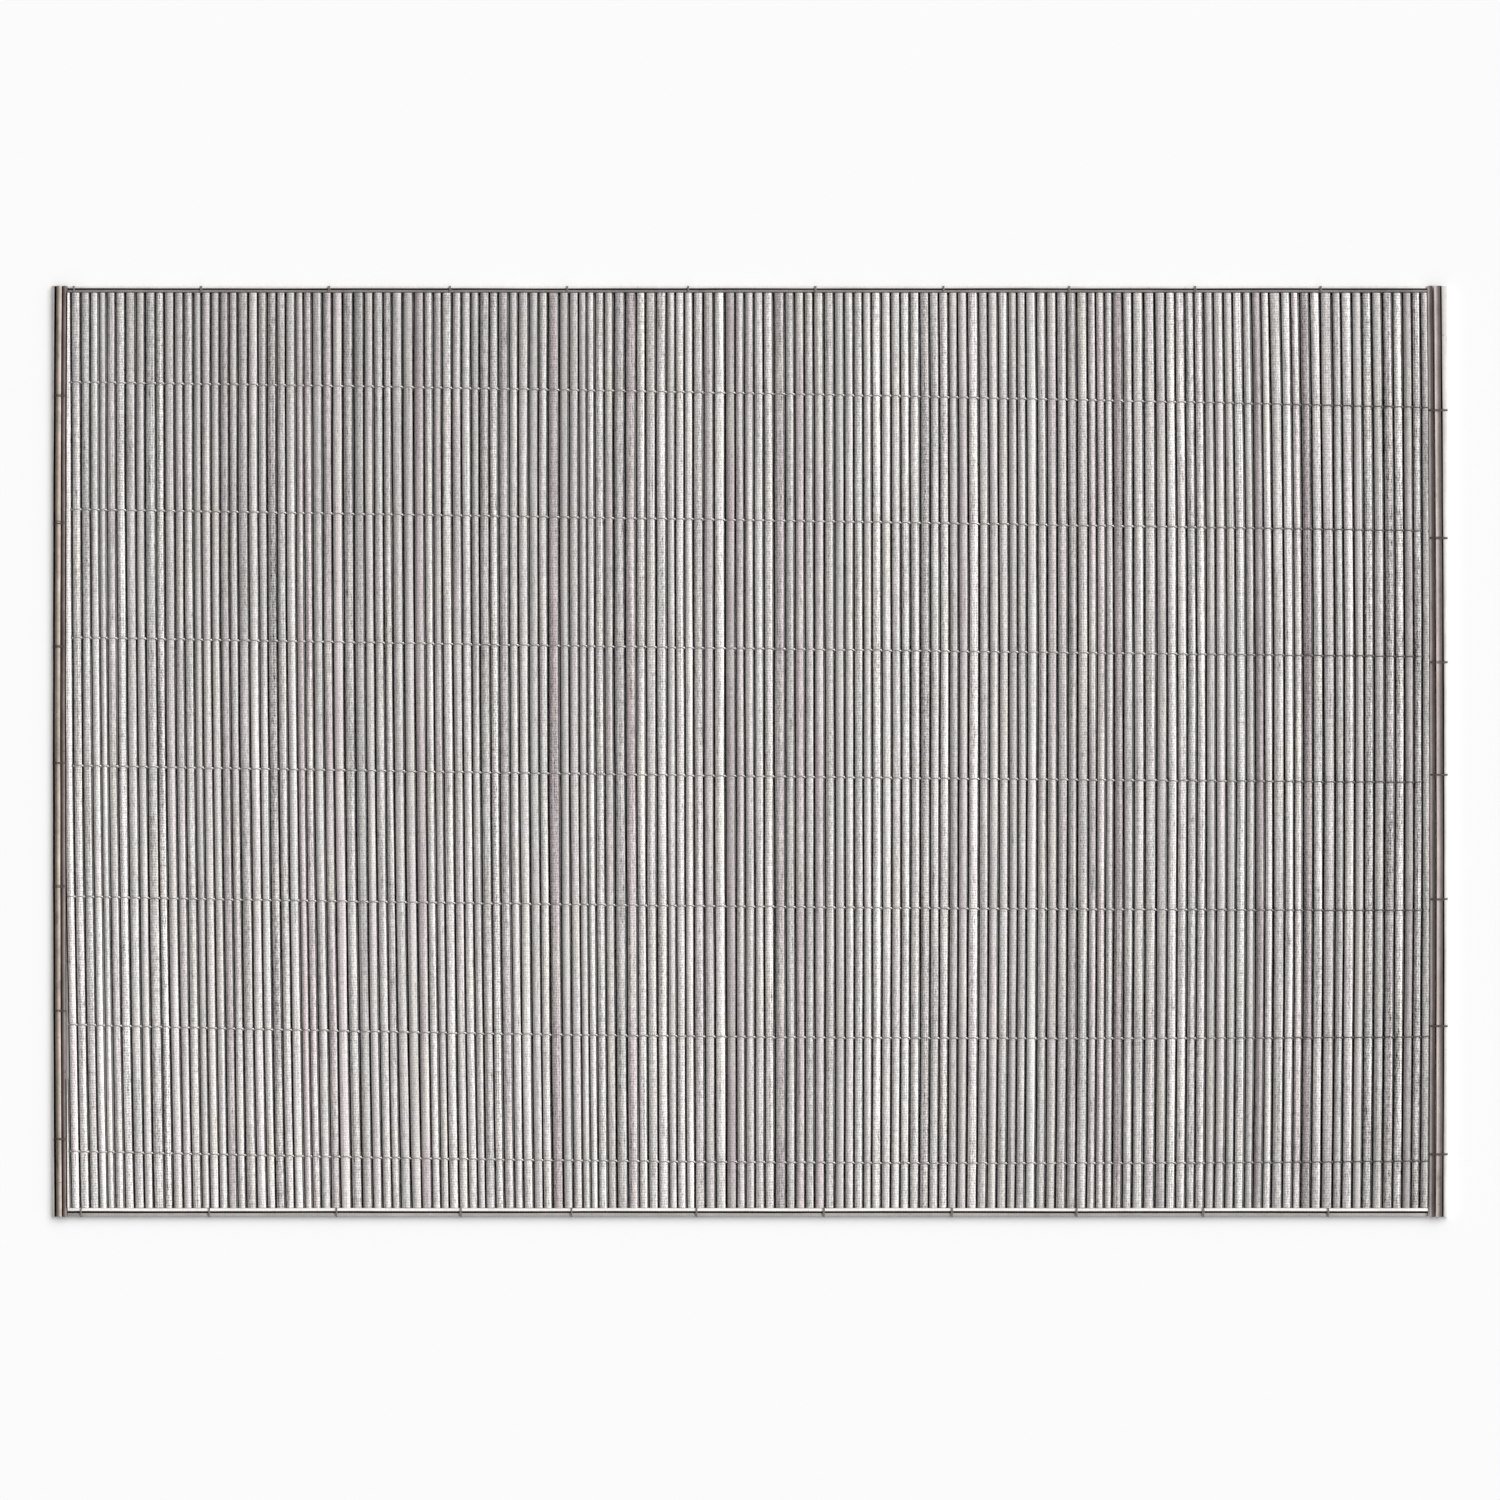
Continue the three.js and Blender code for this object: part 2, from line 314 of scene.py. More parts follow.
def write_grain_place(mesh, across, height, reach, along, offset):
    """Where each point lies on the unrolled cane, in metres, with the seam underneath."""
    around = np.arctan2(across, height) * reach
    place = np.stack([around + offset[0], along + offset[1], np.full(len(around), offset[2])], axis=1)
    write_attribute(mesh, "grain_place", place * MM)


def flank_share(across, height):
    """0 at the top and the bottom of a piece, and 1 at mid height, where it meets its neighbour."""
    return np.arctan2(np.abs(across), np.abs(height)) / (math.pi / 2)


def at_the_ends(along, ends):
    """Which points lie on the two cut ends of a piece, which get no painted shade."""
    return (along < ends[0] + CUT_FACE) | (along > ends[1] - CUT_FACE)


def join_as(name, pieces):
    deselect_all()
    for piece in pieces:
        piece.select_set(True)
    bpy.context.view_layer.objects.active = pieces[0]
    bpy.ops.object.join()
    joined = bpy.context.object
    joined.name = name
    joined.data.name = name
    return joined


def smooth(piece, angle=50):
    deselect_all()
    piece.select_set(True)
    bpy.context.view_layer.objects.active = piece
    bpy.ops.object.shade_smooth_by_angle(angle=math.radians(angle))


def kept_stretch(centre, reach):
    """The heights between which a stick shows inside the two borders."""
    heights = np.linspace(field_low, field_high, STRETCH_STEPS)
    middle = centre + drift_at(centre, heights)
    left = np.maximum(middle - reach, field_left - bulge_at("left", heights))
    right = np.minimum(middle + reach, field_right + bulge_at("right", heights))
    inside = heights[right - left > LEAST_SLIVER]
    return inside.min(), inside.max()


def ring_heights(x, low, high):
    """Heights of the mesh's rings on a stick: four at each row of twine, and a few between rows."""
    rows = sorted(row_height(row, x) for row in TWINE_ROWS)
    stops = [low, *rows, high]
    rings = [row + step for row in rows for step in NECK_RINGS]
    for below, above in zip(stops[:-1], stops[1:]):
        rings += list(np.linspace(below, above, RINGS_BETWEEN_ROWS + 2)[1:-1])
    return np.array(sorted(rings)), np.array(rows)


ring_count = len(ring_heights(0, field_low, field_high)[0])
pattern = model_cane("cane", STICK_SIDES, ring_count, field_low, field_high, END_BEVEL)
unit = places_of(pattern.data)
even_rings = np.linspace(field_low, field_high, ring_count + 2)
edges = stick_edges()
draw = np.random.default_rng(STICK_SEED)


def drawn_stick(left, right):
    """A stick between two lines, with a gap, tone, roughness and grain of its own."""
    start = (left + right) / 2
    extra_gap = min(draw.exponential(EXTRA_GAP), WIDEST_EXTRA_GAP)
    stick = {
        "start": start,
        "reach": (right - left - STICK_GAP - extra_gap) / 2,
        "tone": 1 + TONE_SPREAD * draw.normal(),
        "rough": draw.uniform(*ROUGHNESS),
        "mauve": max(0, draw.normal() * MAUVE_SPREAD),
        "phases": draw.uniform(0, 2 * math.pi, 4),
        "offset": draw.uniform(0, GRAIN_REACH, 3),
        "top": STICK_TOP - draw.uniform(0, TOP_SPREAD),
    }
    notable = [known for known in NOTABLE_STICKS if abs(known["x"] - start) < NOTABLE_REACH]
    if notable:
        closest = min(notable, key=lambda known: abs(known["x"] - start))
        stick["tone"], stick["mauve"] = closest["tone"], closest["mauve"]
    scarred = [known["rough"] for known in SCARRED_STICKS if abs(known["x"] - start) < NOTABLE_REACH]
    stick["rough"] = max([stick["rough"], *scarred])
    return stick


def shape_stick(mesh, stick):
    """Gives a copy of the pattern cane the stick's own course, thickness, necks and looks."""
    start, reach = stick["start"], stick["reach"]
    low, high = kept_stretch(start, reach)
    rings, rows = ring_heights(start, low, high)
    if high - low < field_high - field_low:
        rings = np.linspace(low, high, ring_count + 2)[1:-1]
    along = np.interp(unit[:, 1], even_rings, [low, *rings, high])
    neck = (np.abs(along[:, None] - rows).min(axis=1) < NECK_REACH) * NECK_DEPTH / reach
    swell = 1 + waves_at(along, SWELLS, stick["phases"][:2]) - neck
    wander = waves_at(along, WANDERS, stick["phases"][2:])
    x = start + drift_at(start, along) + wander + unit[:, 0] * reach * swell
    x = np.maximum(x, field_left - bulge_at("left", along))
    x = np.minimum(x, field_right + bulge_at("right", along))
    z = STICK_BOTTOM + (unit[:, 2] * (1 - neck) + 1) / 2 * (stick["top"] - STICK_BOTTOM)
    put_places(mesh, np.stack([x, along, z], axis=1))
    write_grain_place(mesh, unit[:, 0], unit[:, 2], reach, along, stick["offset"])
    write_attribute(mesh, "tone", stick["tone"] * (1 + fading_at(start, along)))
    write_attribute(mesh, "mauve", np.full(len(x), stick["mauve"]))
    write_attribute(mesh, "rough", np.full(len(x), stick["rough"]))
    # Painted shade down the flanks between the sticks, further up the left flank, away from the light
    painted_flank_shade = np.where(unit[:, 0] < 0, *PAINTED_SHADE_REACH)
    painted_flank_shade[at_the_ends(unit[:, 1], (field_low, field_high))] = 0
    write_attribute(mesh, "flank", painted_flank_shade * flank_share(unit[:, 0], unit[:, 2]))


sticks = []
for i, (left, right) in enumerate(zip(edges[:-1], edges[1:])):
    mesh = pattern.data.copy()
    shape_stick(mesh, drawn_stick(left, right))
    stick = bpy.data.objects.new(f"stick_{i}", mesh)
    bpy.context.collection.objects.link(stick)
    sticks.append(stick)
bpy.data.objects.remove(pattern)
field = join_as("field_of_sticks", sticks)
smooth(field)


def new_group(name, inputs, outputs):
    """An empty shader node group with named inputs and outputs, and its two end nodes."""
    group = bpy.data.node_groups.new(name, "ShaderNodeTree")
    for label, kind in inputs:
        group.interface.new_socket(name=label, in_out="INPUT", socket_type=kind)
    for label in outputs:
        group.interface.new_socket(name=label, in_out="OUTPUT", socket_type="NodeSocketFloat")
    return group, group.nodes.new("NodeGroupInput"), group.nodes.new("NodeGroupOutput")


def add_node(tree, kind, **values):
    """A new node, with its settings, and its inputs given by name or number."""
    node = tree.nodes.new(kind)
    inputs = values.pop("inputs", {})
    for key, value in values.items():
        setattr(node, key, value)
    for key, value in inputs.items():
        if isinstance(value, bpy.types.NodeSocket):
            tree.links.new(value, node.inputs[key])
        else:
            node.inputs[key].default_value = value
    return node


def math_node(tree, operation, first, second):
    return add_node(tree, "ShaderNodeMath", operation=operation, inputs={0: first, 1: second}).outputs[0]


def stretched_noise(tree, place, scale, detail):
    """Noise whose spots are as long and as wide as the three scales say, from -1 to 1."""
    scaled = add_node(tree, "ShaderNodeVectorMath", operation="MULTIPLY", inputs={0: place, 1: scale})
    noise = add_node(
        tree,
        "ShaderNodeTexNoise",
        inputs={"Vector": scaled.outputs[0], "Scale": 1.0, "Detail": detail, "Roughness": 0.6},
    )
    centred = math_node(tree, "SUBTRACT", noise.outputs["Fac"], 0.5)
    return math_node(tree, "MULTIPLY", centred, 2.0)


def ramp(tree, value, first, last, outputs=(0.0, 1.0), kind="SMOOTHSTEP"):
    """Goes from the first output to the second while the value goes from the first limit to the last."""
    start, end = outputs
    node = add_node(
        tree,
        "ShaderNodeMapRange",
        interpolation_type=kind,
        inputs={"Value": value, "From Min": first, "From Max": last, "To Min": start, "To Max": end},
    )
    return node.outputs[0]


# The grain of cane: fine fibres and broad streaks along it, slow clouds, and faint marks across it
FIBRE = (900, 180, 900)
STREAK = (640, 4.5, 640)
CLOUD = (120, 26, 120)
SCAR = (230, 24, 230)
SPECK = (420, 200, 420)
RIB_PERIOD = 3.4 * MM
RIB_BEND = 2.0
RIB_RELIEF = 0.3
SCAR_RELIEF = 2.0

# Where in their noise the specks and the scars begin, and where they are full
SPECK_EDGE = (0.42, 0.62)
SCAR_EDGE = (0.34, 0.44)

grain, grain_in, grain_out = new_group(
    "cane grain",
    [
        ("Place", "NodeSocketVector"),
        ("Fibres", "NodeSocketFloat"),
        ("Streaks", "NodeSocketFloat"),
        ("Clouds", "NodeSocketFloat"),
        ("Ribs", "NodeSocketFloat"),
        ("Specks", "NodeSocketFloat"),
        ("Scars", "NodeSocketFloat"),
    ],
    ["Shade", "Relief"],
)
place = grain_in.outputs["Place"]
fibres = stretched_noise(grain, place, FIBRE, 3.0)
streaks = stretched_noise(grain, place, STREAK, 2.0)
clouds = stretched_noise(grain, place, CLOUD, 2.0)
specks = ramp(grain, stretched_noise(grain, place, SPECK, 1.0), *SPECK_EDGE)
scars = ramp(grain, stretched_noise(grain, place, SCAR, 1.0), *SCAR_EDGE)
rib_place = add_node(grain, "ShaderNodeSeparateXYZ", inputs={0: place}).outputs["Y"]
rib_turn = math_node(grain, "MULTIPLY", rib_place, 2 * math.pi / RIB_PERIOD)
rib_bend = math_node(grain, "MULTIPLY", streaks, RIB_BEND)
ribs = math_node(grain, "SINE", math_node(grain, "ADD", rib_turn, rib_bend), 0.0)
shade = 1.0
for value, amount in ((fibres, "Fibres"), (streaks, "Streaks"), (clouds, "Clouds"), (ribs, "Ribs")):
    shade = math_node(grain, "ADD", math_node(grain, "MULTIPLY", value, grain_in.outputs[amount]), shade)
darkened = math_node(grain, "MULTIPLY", specks, grain_in.outputs["Specks"])
scarred = math_node(grain, "MULTIPLY", scars, grain_in.outputs["Scars"])
darkened = math_node(grain, "ADD", darkened, scarred)
grain.links.new(math_node(grain, "SUBTRACT", shade, darkened), grain_out.inputs["Shade"])
relief = math_node(grain, "ADD", fibres, math_node(grain, "MULTIPLY", ribs, RIB_RELIEF))
relief = math_node(grain, "SUBTRACT", relief, math_node(grain, "MULTIPLY", scars, SCAR_RELIEF))
grain.links.new(math_node(grain, "SUBTRACT", relief, specks), grain_out.inputs["Relief"])


def new_material(name):
    """A material with only a Principled shader and its output."""
    material = bpy.data.materials.new(name)
    material.use_nodes = True
    tree = material.node_tree
    return material, tree, tree.nodes["Principled BSDF"]


def attribute_node(tree, name):
    return add_node(tree, "ShaderNodeAttribute", attribute_name=name)


def grain_node(tree, place, **amounts):
    node = add_node(tree, "ShaderNodeGroup", node_tree=grain)
    tree.links.new(place, node.inputs["Place"])
    for label, amount in amounts.items():
        node.inputs[label].default_value = amount
    return node


def mix_colours(tree, share, first, second):
    """Two colours, each a socket or three numbers, mixed by a share from 0 to 1."""
    ends = [end if isinstance(end, bpy.types.NodeSocket) else (*end, 1) for end in (first, second)]
    node = add_node(tree, "ShaderNodeMix", data_type="RGBA", inputs={0: share, 6: ends[0], 7: ends[1]})
    return node.outputs[2]


def scale_colour(tree, colour, factor):
    node = add_node(tree, "ShaderNodeVectorMath", operation="SCALE", inputs={"Scale": factor})
    if isinstance(colour, bpy.types.NodeSocket):
        tree.links.new(colour, node.inputs[0])
    else:
        node.inputs[0].default_value = colour
    return node.outputs[0]


def painted_crevice_shade(tree, start, end, depth):
    """Painted shade between pieces: 1 on top, falling to the depth given down a piece's flank."""
    return ramp(tree, attribute_node(tree, "flank").outputs["Fac"], start, end, (1.0, depth))


def add_relief(tree, shader, height, depth):
    inputs = {"Height": height, "Distance": depth * MM, "Strength": 1.0}
    bump = add_node(tree, "ShaderNodeBump", inputs=inputs)
    tree.links.new(bump.outputs["Normal"], shader.inputs["Normal"])


GREY_CANE = (0.500, 0.479, 0.468)
MAUVE_CANE = (0.430, 0.377, 0.380)
STRAW_CANE = (0.500, 0.468, 0.430)
TINT_PATCH = (25, 7, 25)
MAUVE_PATCHINESS = 1.6
STRAW_EDGE = (-0.1, -0.7)
# Where down its flanks the painted shade between the sticks starts and ends, and how dark it gets
CANE_PAINTED_SHADE = {"start": 0.51, "end": 0.67, "depth": 0.005}

cane_grey, tree, shader = new_material("greyed bamboo")
cane_place = attribute_node(tree, "grain_place").outputs["Vector"]
cane_grain = grain_node(
    tree,
    cane_place,
    Fibres=1.1,
    Streaks=0.85,
    Clouds=0.18,
    Ribs=0.15,
    Specks=0.25,
    Scars=0.26,
)
patches = stretched_noise(tree, cane_place, TINT_PATCH, 1.0)
patchy = math_node(tree, "ADD", math_node(tree, "MULTIPLY", patches, MAUVE_PATCHINESS), 1.0)
mauve_share = math_node(tree, "MULTIPLY", attribute_node(tree, "mauve").outputs["Fac"], patchy)
tint = mix_colours(tree, mauve_share, GREY_CANE, MAUVE_CANE)
straw_share = ramp(tree, patches, *STRAW_EDGE, kind="LINEAR")
tint = mix_colours(tree, straw_share, tint, STRAW_CANE)
contrast = attribute_node(tree, "rough").outputs["Fac"]
toned = math_node(tree, "SUBTRACT", cane_grain.outputs["Shade"], 1.0)
toned = math_node(tree, "ADD", math_node(tree, "MULTIPLY", toned, contrast), 1.0)
toned = math_node(tree, "MULTIPLY", toned, attribute_node(tree, "tone").outputs["Fac"])
# Painted shade: the cane goes nearly black down its flanks, between the sticks
toned = math_node(tree, "MULTIPLY", toned, painted_crevice_shade(tree, **CANE_PAINTED_SHADE))
tree.links.new(scale_colour(tree, tint, toned), shader.inputs["Base Color"])
shader.inputs["Roughness"].default_value = 0.75
shader.inputs["Specular IOR Level"].default_value = 0.05
add_relief(tree, shader, cane_grain.outputs["Relief"], depth=0.06)
field.data.materials.append(cane_grey)

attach(field, "root")
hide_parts("slat_field")


# Rows of twine
# Two strands of thin twisted thread hold the sticks together along each of seven rows. One passes over
# a stick while the other passes under it, and they cross in the gap before the next one.
STRAND_RADIUS = 0.68
STRAND_SPREAD = 0.6
CROSSING_HEIGHT = 8.0
OVER_ANGLES = (-75, -50, -25, 0, 25, 50, 75)
ROW_SWAY = 0.18


def strand_path(row, starts_over, sway):
    """Points of one strand, over one stick and under the next, with the crossings between them."""
    points = []
    over = starts_over
    for i in range(len(edges) - 1):
        start = (edges[i] + edges[i + 1]) / 2
        reach = (edges[i + 1] - edges[i]) / 2
        y = row_height(row, start)
        middle = start + drift_at(start, y)
        over = not over
        if not field_left + reach / 2 < middle < field_right - reach / 2:
            continue
        top = STICK_TOP - NECK_DEPTH + STRAND_RADIUS
        bottom = NECK_DEPTH + STRAND_RADIUS
        for angle in OVER_ANGLES:
            turn = math.radians(angle)
            x = middle + reach * math.sin(turn)
            x = min(max(x, field_left + STRAND_RADIUS), field_right - STRAND_RADIUS)
            rise = math.cos(turn)
            z = CROSSING_HEIGHT + rise * ((top if over else bottom) - CROSSING_HEIGHT)
            side = STRAND_SPREAD * math.sin(turn) * (1 if over else -1)
            points.append((x, row_height(row, x) + side + sway[i], z))
    return points


def tube_along(name, paths, radius):
    """A mesh tube round each path, made from one curve with a round bevel."""
    curve = bpy.data.curves.new(name, "CURVE")
    curve.dimensions = "3D"
    curve.bevel_depth = radius * MM
    curve.bevel_resolution = 1
    curve.use_fill_caps = True
    for path in paths:
        spline = curve.splines.new("POLY")
        spline.points.add(len(path) - 1)
        for point, place in zip(spline.points, path):
            point.co = (place[0] * MM, place[1] * MM, place[2] * MM, 1)
    piece = bpy.data.objects.new(name, curve)
    bpy.context.collection.objects.link(piece)
    deselect_all()
    piece.select_set(True)
    bpy.context.view_layer.objects.active = piece
    bpy.ops.object.convert(target="MESH")
    piece = bpy.context.object
    bpy.ops.object.shade_smooth()
    return piece


# The colour painted on the twine over the crests as painted shade, its soiled colour, and its own colour
CREST_SHADE_TWINE = (0.240, 0.230, 0.225)
SOILED_TWINE = (0.070, 0.066, 0.064)
UNSHADED_TWINE = (0.820, 0.795, 0.770)
TWIST_PERIOD = 1.6 * MM
TWIST_SLANT = 1.6
TWIST_SHADE = 0.12
WEAR = (60, 60, 60)
WEAR_SHADE = 0.35

# The twine is painted darker above the first height, a painted shade over the crests of the sticks,
# keeps its own pale colour below the second, and gets soiled along this stretch on the right
CREST_SHADE_HEIGHTS = (10.4 * MM, 9.6 * MM)
SOILED_STRETCH = (480 * MM, 760 * MM)
SOILED_SHARE = 0.8

twine, tree, shader = new_material("twine")
where = add_node(tree, "ShaderNodeTexCoord").outputs["Object"]
parts = add_node(tree, "ShaderNodeSeparateXYZ", inputs={0: where})
sideways = math_node(tree, "MULTIPLY", parts.outputs["Y"], TWIST_SLANT)
slant = math_node(tree, "ADD", parts.outputs["X"], sideways)
twist = math_node(tree, "SINE", math_node(tree, "MULTIPLY", slant, 2 * math.pi / TWIST_PERIOD), 0.0)
wear = stretched_noise(tree, where, WEAR, 2.0)
light = math_node(tree, "ADD", math_node(tree, "MULTIPLY", twist, TWIST_SHADE), 1.0)
light = math_node(tree, "ADD", light, math_node(tree, "MULTIPLY", wear, WEAR_SHADE))
# Painted shade: the twine takes the darker colour where it passes over the crests
unshaded = ramp(tree, parts.outputs["Z"], *CREST_SHADE_HEIGHTS, kind="LINEAR")
soiled = ramp(tree, parts.outputs["X"], *SOILED_STRETCH, kind="LINEAR")
crest = mix_colours(tree, soiled, CREST_SHADE_TWINE, SOILED_TWINE)
kept = math_node(tree, "SUBTRACT", 1.0, math_node(tree, "MULTIPLY", soiled, SOILED_SHARE))
share = math_node(tree, "MULTIPLY", unshaded, kept)
colour = mix_colours(tree, share, crest, UNSHADED_TWINE)
tree.links.new(scale_colour(tree, colour, light), shader.inputs["Base Color"])
shader.inputs["Roughness"].default_value = 0.9
shader.inputs["Specular IOR Level"].default_value = 0.15
add_relief(tree, shader, twist, depth=0.12)

rows_of_twine = []
for number, row in enumerate(TWINE_ROWS, start=1):
    sway = draw.normal(0, ROW_SWAY, len(edges))
    strands = [strand_path(row, True, sway), strand_path(row, False, sway)]
    twined = tube_along(f"twined_row_{number}", strands, STRAND_RADIUS)
    twined.data.materials.append(twine)
    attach(twined, "root")
    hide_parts(f"thread_row_{number}")
    rows_of_twine.append(twined)


# Border pieces
# Each short side has a brown cane, a thinner dark one inside it, and a pale split lath as its rim. On
# the right both canes are split, and lie with their slightly hollow side up. Each long side has two thin
# split laths that close off the ends of the sticks.
BORDER_BOTTOM = 1.5
BORDER_CUTS = 59
CANE_SIDES = 16
LATH_BEVEL = 0.5
WAVERS = ((61, 0.10), (27, 0.08))

# Points no further below mid height than this share of half the height belong to the upper half
MIDDLE_BAND = 0.05

# The rim laths widen inwards in their lower half, which gets painted shade
RIM_FOOT = 1.7
FOOT_PAINTED_SHADE = 0.75

# The split canes: the bevel of their ends, the depth of the hollow, the painted shade on its outer lip
# and how narrow that is, and how many times as much painted shade the bulging flank of the underside gets
SPLIT_END_BEVEL = 0.06
HOLLOW_DEPTH = 1.4
LIP_PAINTED_SHADE = 0.70
LIP_NARROWNESS = 3
BELLY_PAINTED_SHADE = 1.5

# Each side's pieces from the outline inwards. From and to are distances from it, top is a height, and
# belly how far a split cane's underside bulges inwards, or outwards where it is below zero. The canes
# also carry a painted light: a share by which their inner side is painted lighter.
SIDES = {
    "left": {
        "place": (-RUG_LENGTH / 2, 0),
        "turn": 0,
        "ends": (-RUG_WIDTH / 2, RUG_WIDTH / 2),
        "pieces": [
            {"name": "rim_lath", "from": 0.7, "to": 4.2, "top": 7.5, "form": "lath", "finish": "rim_painted_shade"},
            {"name": "outer_stick", "from": 6.0, "to": 14.3, "top": 9.9, "form": "cane", "finish": "brown",
             "painted_side_light": 0.4},
            {"name": "inner_stick", "from": 14.4, "to": 20.7, "top": 9.4, "form": "cane", "finish": "dark",
             "painted_side_light": 0.15},
        ],
        "ties": (458, 294, 135, -15, -174, -335, -500),
    },
    "right": {
        "place": (RUG_LENGTH / 2, 0),
        "turn": 180,
        "ends": (-RUG_WIDTH / 2, RUG_WIDTH / 2),
        "pieces": [
            {"name": "rim_lath", "from": 0.9, "to": 7.0, "top": 7.5, "form": "lath", "finish": "pale"},
            {"name": "outer_stick", "from": 8.8, "to": 16.5, "top": 9.9, "form": "split",
             "finish": "planed", "painted_side_light": 0.22, "belly": 1.1},
            {"name": "inner_stick", "from": 18.8, "to": 24.9, "top": 9.6, "form": "split",
             "finish": "planed_dark", "painted_side_light": 0.15, "belly": -1.1},
        ],
        "ties": (-440, -275, -115, 30, 190, 354, 519),
    },
    "top": {
        "place": (0, RUG_WIDTH / 2),
        "turn": -90,
        "ends": (field_left, field_right),
        "pieces": [
            {"name": "outer_lath", "from": 0.9, "to": 3.4, "top": 8.5, "form": "lath", "finish": "pale"},
            {"name": "inner_lath", "from": 5.4, "to": 8.3, "top": 9.3, "form": "lath", "finish": "smoked"},
        ],
        "ties": (-871, -707, -542, -386, -235, -79, 85, 250, 412, 574, 736),
    },
    "bottom": {
        "place": (0, -RUG_WIDTH / 2),
        "turn": 90,
        "ends": (-field_right, -field_left),
        "pieces": [
            {"name": "outer_lath", "from": 0.7, "to": 4.9, "top": 7.5, "form": "lath", "finish": "grey"},
            {"name": "inner_lath", "from": 7.5, "to": 11.2, "top": 8.5, "form": "lath",
             "finish": "bleached"},
        ],
        "ties": (861, 696, 532, 372, 229, 68, -96, -261, -422, -585, -746),
    },
}
FINISHES = {
    "brown": {"slot": "bamboo_brown", "light": (0.415, 0.352, 0.306), "deep": (0.155, 0.126, 0.105)},
    "dark": {"slot": "bamboo_dark", "light": (0.230, 0.190, 0.178), "deep": (0.085, 0.064, 0.058)},
    "planed": {"slot": "bamboo_brown", "light": (0.395, 0.338, 0.320), "deep": (0.197, 0.163, 0.144)},
    "planed_dark": {"slot": "bamboo_dark", "light": (0.240, 0.205, 0.198), "deep": (0.120, 0.098, 0.093)},
    "bleached": {"slot": "lath_pale", "light": (0.940, 0.920, 0.890), "deep": (0.740, 0.710, 0.680)},
    "pale": {"slot": "lath_pale", "light": (0.760, 0.735, 0.700), "deep": (0.520, 0.490, 0.460)},
    "smoked": {"slot": "lath_grey", "light": (0.270, 0.252, 0.244), "deep": (0.130, 0.119, 0.115)},
    "grey": {"slot": "lath_grey", "light": (0.440, 0.415, 0.400), "deep": (0.270, 0.250, 0.240)},
    # Painted shade: the left rim lath is the pale lath painted darker, as on the side away from the light
    "rim_painted_shade": {"slot": "lath_pale", "light": (0.480, 0.455, 0.435), "deep": (0.330, 0.310, 0.290)},
}
SHADE_RANGE = (0.4, 1.3)
# Where down the flanks the painted shade between border pieces starts and ends, and how dark it gets
BORDER_PAINTED_SHADE = {"start": 0.52, "end": 0.72, "depth": 0.05}


def border_finish(name, light, deep):
    """Stained or pale bamboo: the grain runs from the light to the deep colour."""
    material, tree, shader = new_material(f"{name} bamboo")
    node = grain_node(
        tree,
        attribute_node(tree, "grain_place").outputs["Vector"],
        Fibres=0.35,
        Streaks=0.5,
        Clouds=0.5,
        Ribs=0.03,
        Specks=0.5,
        Scars=0.2,
    )
    share = ramp(tree, node.outputs["Shade"], *SHADE_RANGE, kind="LINEAR")
    colour = mix_colours(tree, share, deep, light)
    # The tone carries the canes' painted light, and painted shade darkens the flanks where the border
    # pieces meet
    tone = attribute_node(tree, "tone").outputs["Fac"]
    toned = math_node(tree, "MULTIPLY", tone, painted_crevice_shade(tree, **BORDER_PAINTED_SHADE))
    tree.links.new(scale_colour(tree, colour, toned), shader.inputs["Base Color"])
    shader.inputs["Roughness"].default_value = 0.7
    shader.inputs["Specular IOR Level"].default_value = 0.08
    add_relief(tree, shader, node.outputs["Relief"], depth=0.08)
    return material


border_materials = {
    name: border_finish(name, finish["light"], finish["deep"]) for name, finish in FINISHES.items()
}


def model_lath(name, width, height, ends):
    """A thin split lath on its edge along Y, with eased edges and a line of points at mid height."""
    deselect_all()
    length = ends[1] - ends[0]
    bpy.ops.mesh.primitive_cube_add(size=1, location=(0, (ends[0] + ends[1]) / 2 * MM, 0))
    lath = bpy.context.object
    lath.name = name
    lath.scale = (width * MM, length * MM, height * MM)
    bpy.ops.object.transform_apply(location=True, rotation=True, scale=True)
    bpy.ops.object.mode_set(mode="EDIT")
    bpy.ops.mesh.select_all(action="SELECT")
    bpy.ops.mesh.bevel(offset=LATH_BEVEL * MM, segments=2, affect="EDGES")
    bpy.ops.object.mode_set(mode="OBJECT")
    select_edges(lath, lambda a, b: abs(a.z - b.z) > height / 2 * MM)
    bpy.ops.mesh.subdivide(number_cuts=1)
    bpy.ops.object.mode_set(mode="OBJECT")
    select_edges(lath, lambda a, b: abs(a.y - b.y) > length / 2 * MM)
    bpy.ops.mesh.subdivide(number_cuts=BORDER_CUTS)
    bpy.ops.object.mode_set(mode="OBJECT")
    return lath


def side_bulge(side, along):
    """The bulge in a side's own measure, which runs down the rug on the right."""
    if side not in BORDER_BOW:
        return 0 * along
    return bulge_at(side, -along if side == "right" else along)


def rim_share(side, across):
    """0 on the rim's outer face, which stays straight, and 1 from its inner face on."""
    rim = SIDES[side]["pieces"][0]
    return np.clip((across - rim["from"]) / (rim["to"] - rim["from"]), 0, 1)


def to_rug(side, places):
    """From the side's own measure, inwards from the outline and along it, to the rug's place."""
    turn = math.radians(SIDES[side]["turn"])
    x, y = SIDES[side]["place"]
    across, along, up = places.T
    return np.stack(
        [
            x + across * math.cos(turn) - along * math.sin(turn),
            y + across * math.sin(turn) + along * math.cos(turn),
            up,
        ],
        axis=1,
    )


